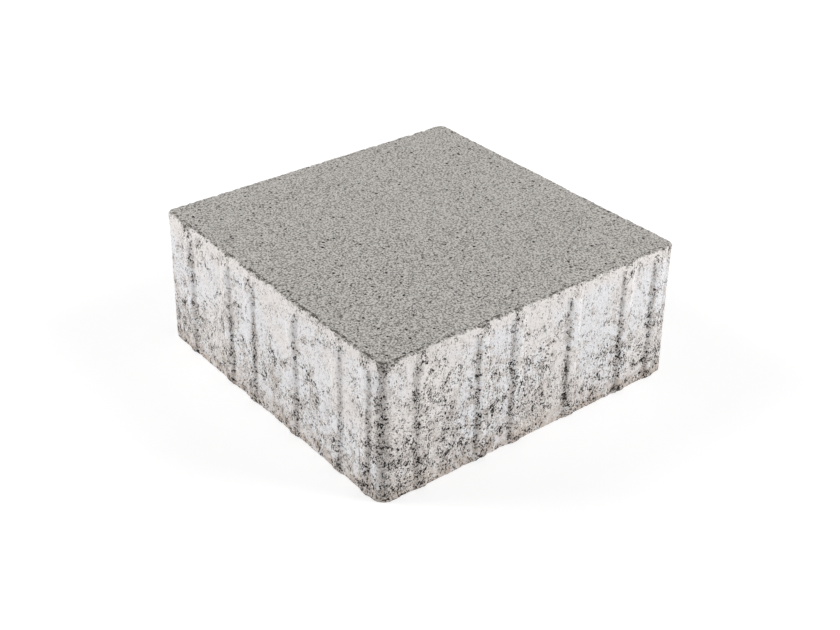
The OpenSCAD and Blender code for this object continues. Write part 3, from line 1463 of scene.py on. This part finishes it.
    def bump(self, side_holes: Socket, top_holes: Socket, crumb_holes: Socket) -> Socket:
        """Draws the relief that is too fine for the mesh.

        Args:
            side_holes: Depth of the holes on the sides.
            top_holes: Depth of the holes on the wearing face.
            crumb_holes: Depth of the crumbs along the arris.

        Returns:
            The normal.
        """
        finish, wall = self.finish, self.marks[Mark.SKIN]
        flat = self.minus(1.0, wall)
        sunk = self.plus(self.times(side_holes, wall), self.times(top_holes, flat))
        sunk = self.larger(sunk, crumb_holes)
        grit = self.math("MULTIPLY_ADD", flat, finish.grit_more_on_top, finish.grit_on_side)
        made = self.add("ShaderNodeBump")
        made.inputs["Strength"].default_value = finish.bump_strength
        made.inputs["Distance"].default_value = finish.bump_depth
        self.feed(made.inputs["Height"], self.minus(self.times(self.grain["Height"], grit), sunk))
        return made.outputs["Normal"]

    def draw(self) -> None:
        """Draws the whole material."""
        finish = self.finish
        top, top_holes = self.wearing_face()
        film, thin = self.lime_film()
        side, side_holes = self.side_specks(film)
        side = self.hollows(side)
        below_edge = self.below_film_edge()
        colour = self.blend(self.ease(below_edge, finish.film_cut), top, side)
        crumbs = self.arris_crumbs(below_edge)
        # Painted shade: the crumbs take a dark brown that stands for the shade in their hollows.
        colour = self.blend(self.times(crumbs["Mask"], finish.crumb_strength), colour, finish.crumb_hollow_shade)
        shader = self.add("ShaderNodeBsdfPrincipled")
        self.feed(shader.inputs["Base Color"], colour)
        self.feed(shader.inputs["Roughness"], self.ease(thin, finish.roughness))
        shader.inputs["Specular IOR Level"].default_value = finish.gloss
        self.feed(shader.inputs["Normal"], self.bump(side_holes, top_holes, crumbs["Depth"]))
        self.feed(self.add("ShaderNodeOutputMaterial").inputs["Surface"], shader.outputs[0])


@dataclass(frozen=True)
class FloorPaper:
    """White paper that lights the stone as matt paper does and looks white, apart from the shadow on it."""

    name: str = "floor_paper"
    white: float = 0.86
    seen_white: float = 0.5
    seen_glow: Ramp = Ramp(0.6, 1.6, 0.6, 1.0)

    def build(self) -> bpy.types.Material:
        """Makes the material.

        Returns:
            The material.
        """
        made = blank_material(self.name)
        sheet = NodeSheet(made.node_tree)
        paper, seen_paper = (sheet.add("ShaderNodeBsdfDiffuse") for _ in range(2))
        paper.inputs["Color"].default_value = grey(self.white)
        seen_paper.inputs["Color"].default_value = grey(self.seen_white)
        away = sheet.add("ShaderNodeVectorMath", operation="LENGTH")
        sheet.feed(away.inputs[0], sheet.add("ShaderNodeTexCoord").outputs["Object"])
        glow = sheet.add("ShaderNodeEmission")
        sheet.feed(glow.inputs["Strength"], sheet.ease(away.outputs["Value"], self.seen_glow))
        seen = sheet.joined(sheet.add("ShaderNodeAddShader"), seen_paper.outputs[0], glow.outputs[0])
        path = sheet.add("ShaderNodeLightPath").outputs
        direct = sheet.larger(path["Is Camera Ray"], path["Is Glossy Ray"])
        direct = sheet.larger(direct, path["Is Transmission Ray"])
        output = sheet.add("ShaderNodeOutputMaterial")
        sheet.feed(output.inputs["Surface"], sheet.either(direct, paper.outputs[0], seen))
        return made


@dataclass(frozen=True)
class Softbox:
    """A square soft light that stands at one side of the stone."""

    name: str
    azimuth: float
    elevation: float = 31.0
    distance: float = 1.6
    size: float = 0.9
    power: float = 21.0

    def build(self, aim: Vector) -> bpy.types.Object:
        """Makes the light.

        Args:
            aim: Point that it faces.

        Returns:
            The light.
        """
        lamp = bpy.data.lights.new(self.name, "AREA")
        lamp.energy, lamp.size = self.power, self.size
        made = put(self.name, lamp)
        turn, rise = math.radians(self.azimuth), math.radians(self.elevation)
        away = Vector((math.cos(turn) * math.cos(rise), math.sin(turn) * math.cos(rise), math.sin(rise)))
        made.location = aim + away * self.distance
        made.rotation_euler = away.to_track_quat("Z", "Y").to_euler()
        return made


@dataclass(frozen=True)
class Studio:
    """Pale floor, two softboxes, even sky and the camera."""

    floor_size: float = 8.0
    floor_paper: FloorPaper = FloorPaper()
    sky_strength: float = 0.20
    camera_place: tuple[float, float, float] = (-0.41625, -0.51662, 0.42836)
    camera_aim: tuple[float, float, float] = (-0.01449, -0.02230, 0.04)
    camera_roll: float = 0.972
    camera_range: Span = (0.01, 50.0)
    lens_mm: float = 58.906
    sensor_mm: float = 36.0
    softbox_aim: tuple[float, float, float] = (0.0, 0.0, 0.04)
    softboxes: tuple[Softbox, ...] = (Softbox("right_softbox", -45.0), Softbox("left_softbox", 135.0))

    def build_floor(self) -> bpy.types.Object:
        """Makes the floor.

        Returns:
            The floor.
        """
        half = self.floor_size / 2
        corners = [((2 * x - 1) * half, (2 * y - 1) * half, 0.0) for x, y in UNIT_SQUARE]
        mesh = bpy.data.meshes.new("floor")
        mesh.from_pydata(corners, [], [(0, 1, 2, 3)])
        mesh.materials.append(self.floor_paper.build())
        made = put("floor", mesh)
        return made

    def build_sky(self) -> bpy.types.World:
        """Makes the even light from all round, with a white backdrop for the camera.

        Returns:
            The world.
        """
        world = bpy.data.worlds.new("studio_sky")
        world.use_nodes = True
        world.node_tree.nodes.clear()
        sheet = NodeSheet(world.node_tree)
        light, backdrop = (sheet.add("ShaderNodeBackground") for _ in range(2))
        light.inputs["Color"].default_value = grey(1.0)
        light.inputs["Strength"].default_value = self.sky_strength
        backdrop.inputs["Color"].default_value = grey(1.0)
        seen = sheet.add("ShaderNodeLightPath").outputs["Is Camera Ray"]
        output = sheet.add("ShaderNodeOutputWorld")
        sheet.feed(output.inputs["Surface"], sheet.either(seen, light.outputs[0], backdrop.outputs[0]))
        bpy.context.scene.world = world
        return world

    def build_camera(self) -> bpy.types.Object:
        """Makes the camera at the photograph's viewing angle.

        Returns:
            The camera.
        """
        lens = bpy.data.cameras.new("camera")
        lens.lens, lens.sensor_width, lens.sensor_fit = self.lens_mm, self.sensor_mm, "HORIZONTAL"
        lens.clip_start, lens.clip_end = self.camera_range
        made = put("camera", lens)
        look = Vector(self.camera_aim) - Vector(self.camera_place)
        level = look.to_track_quat("-Z", "Y").to_matrix()
        rolled = level @ Matrix.Rotation(math.radians(self.camera_roll), 3, "Z")
        made.matrix_world = Matrix.Translation(self.camera_place) @ rolled.to_4x4()
        bpy.context.scene.camera = made
        return made

    def build(self) -> None:
        """Sets up the whole studio."""
        self.build_floor()
        self.build_sky()
        self.build_camera()
        for softbox in self.softboxes:
            softbox.build(Vector(self.softbox_aim))
        bpy.context.scene.view_settings.view_transform = "Standard"


def main() -> None:
    """Builds the stone and the studio round it, and logs the stone's triangle count."""
    logging.basicConfig(level=logging.INFO, format="%(name)s: %(message)s")
    ribs = SpacerRibs()
    form = StoneForm.from_frame(NODE, ribs)
    stone = CastStone(form, ribs, OpenPores()).build("cast_stone")
    stone.data.materials.append(ConcreteFinish(stone_h=form.height).build())
    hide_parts(NODE)
    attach(stone, "root")
    triangles = sum(len(face.vertices) - 2 for face in stone.data.polygons)
    LOG.info("%s: %d triangles", stone.name, triangles)
    Studio().build()


if __name__ == "__main__":
    main()
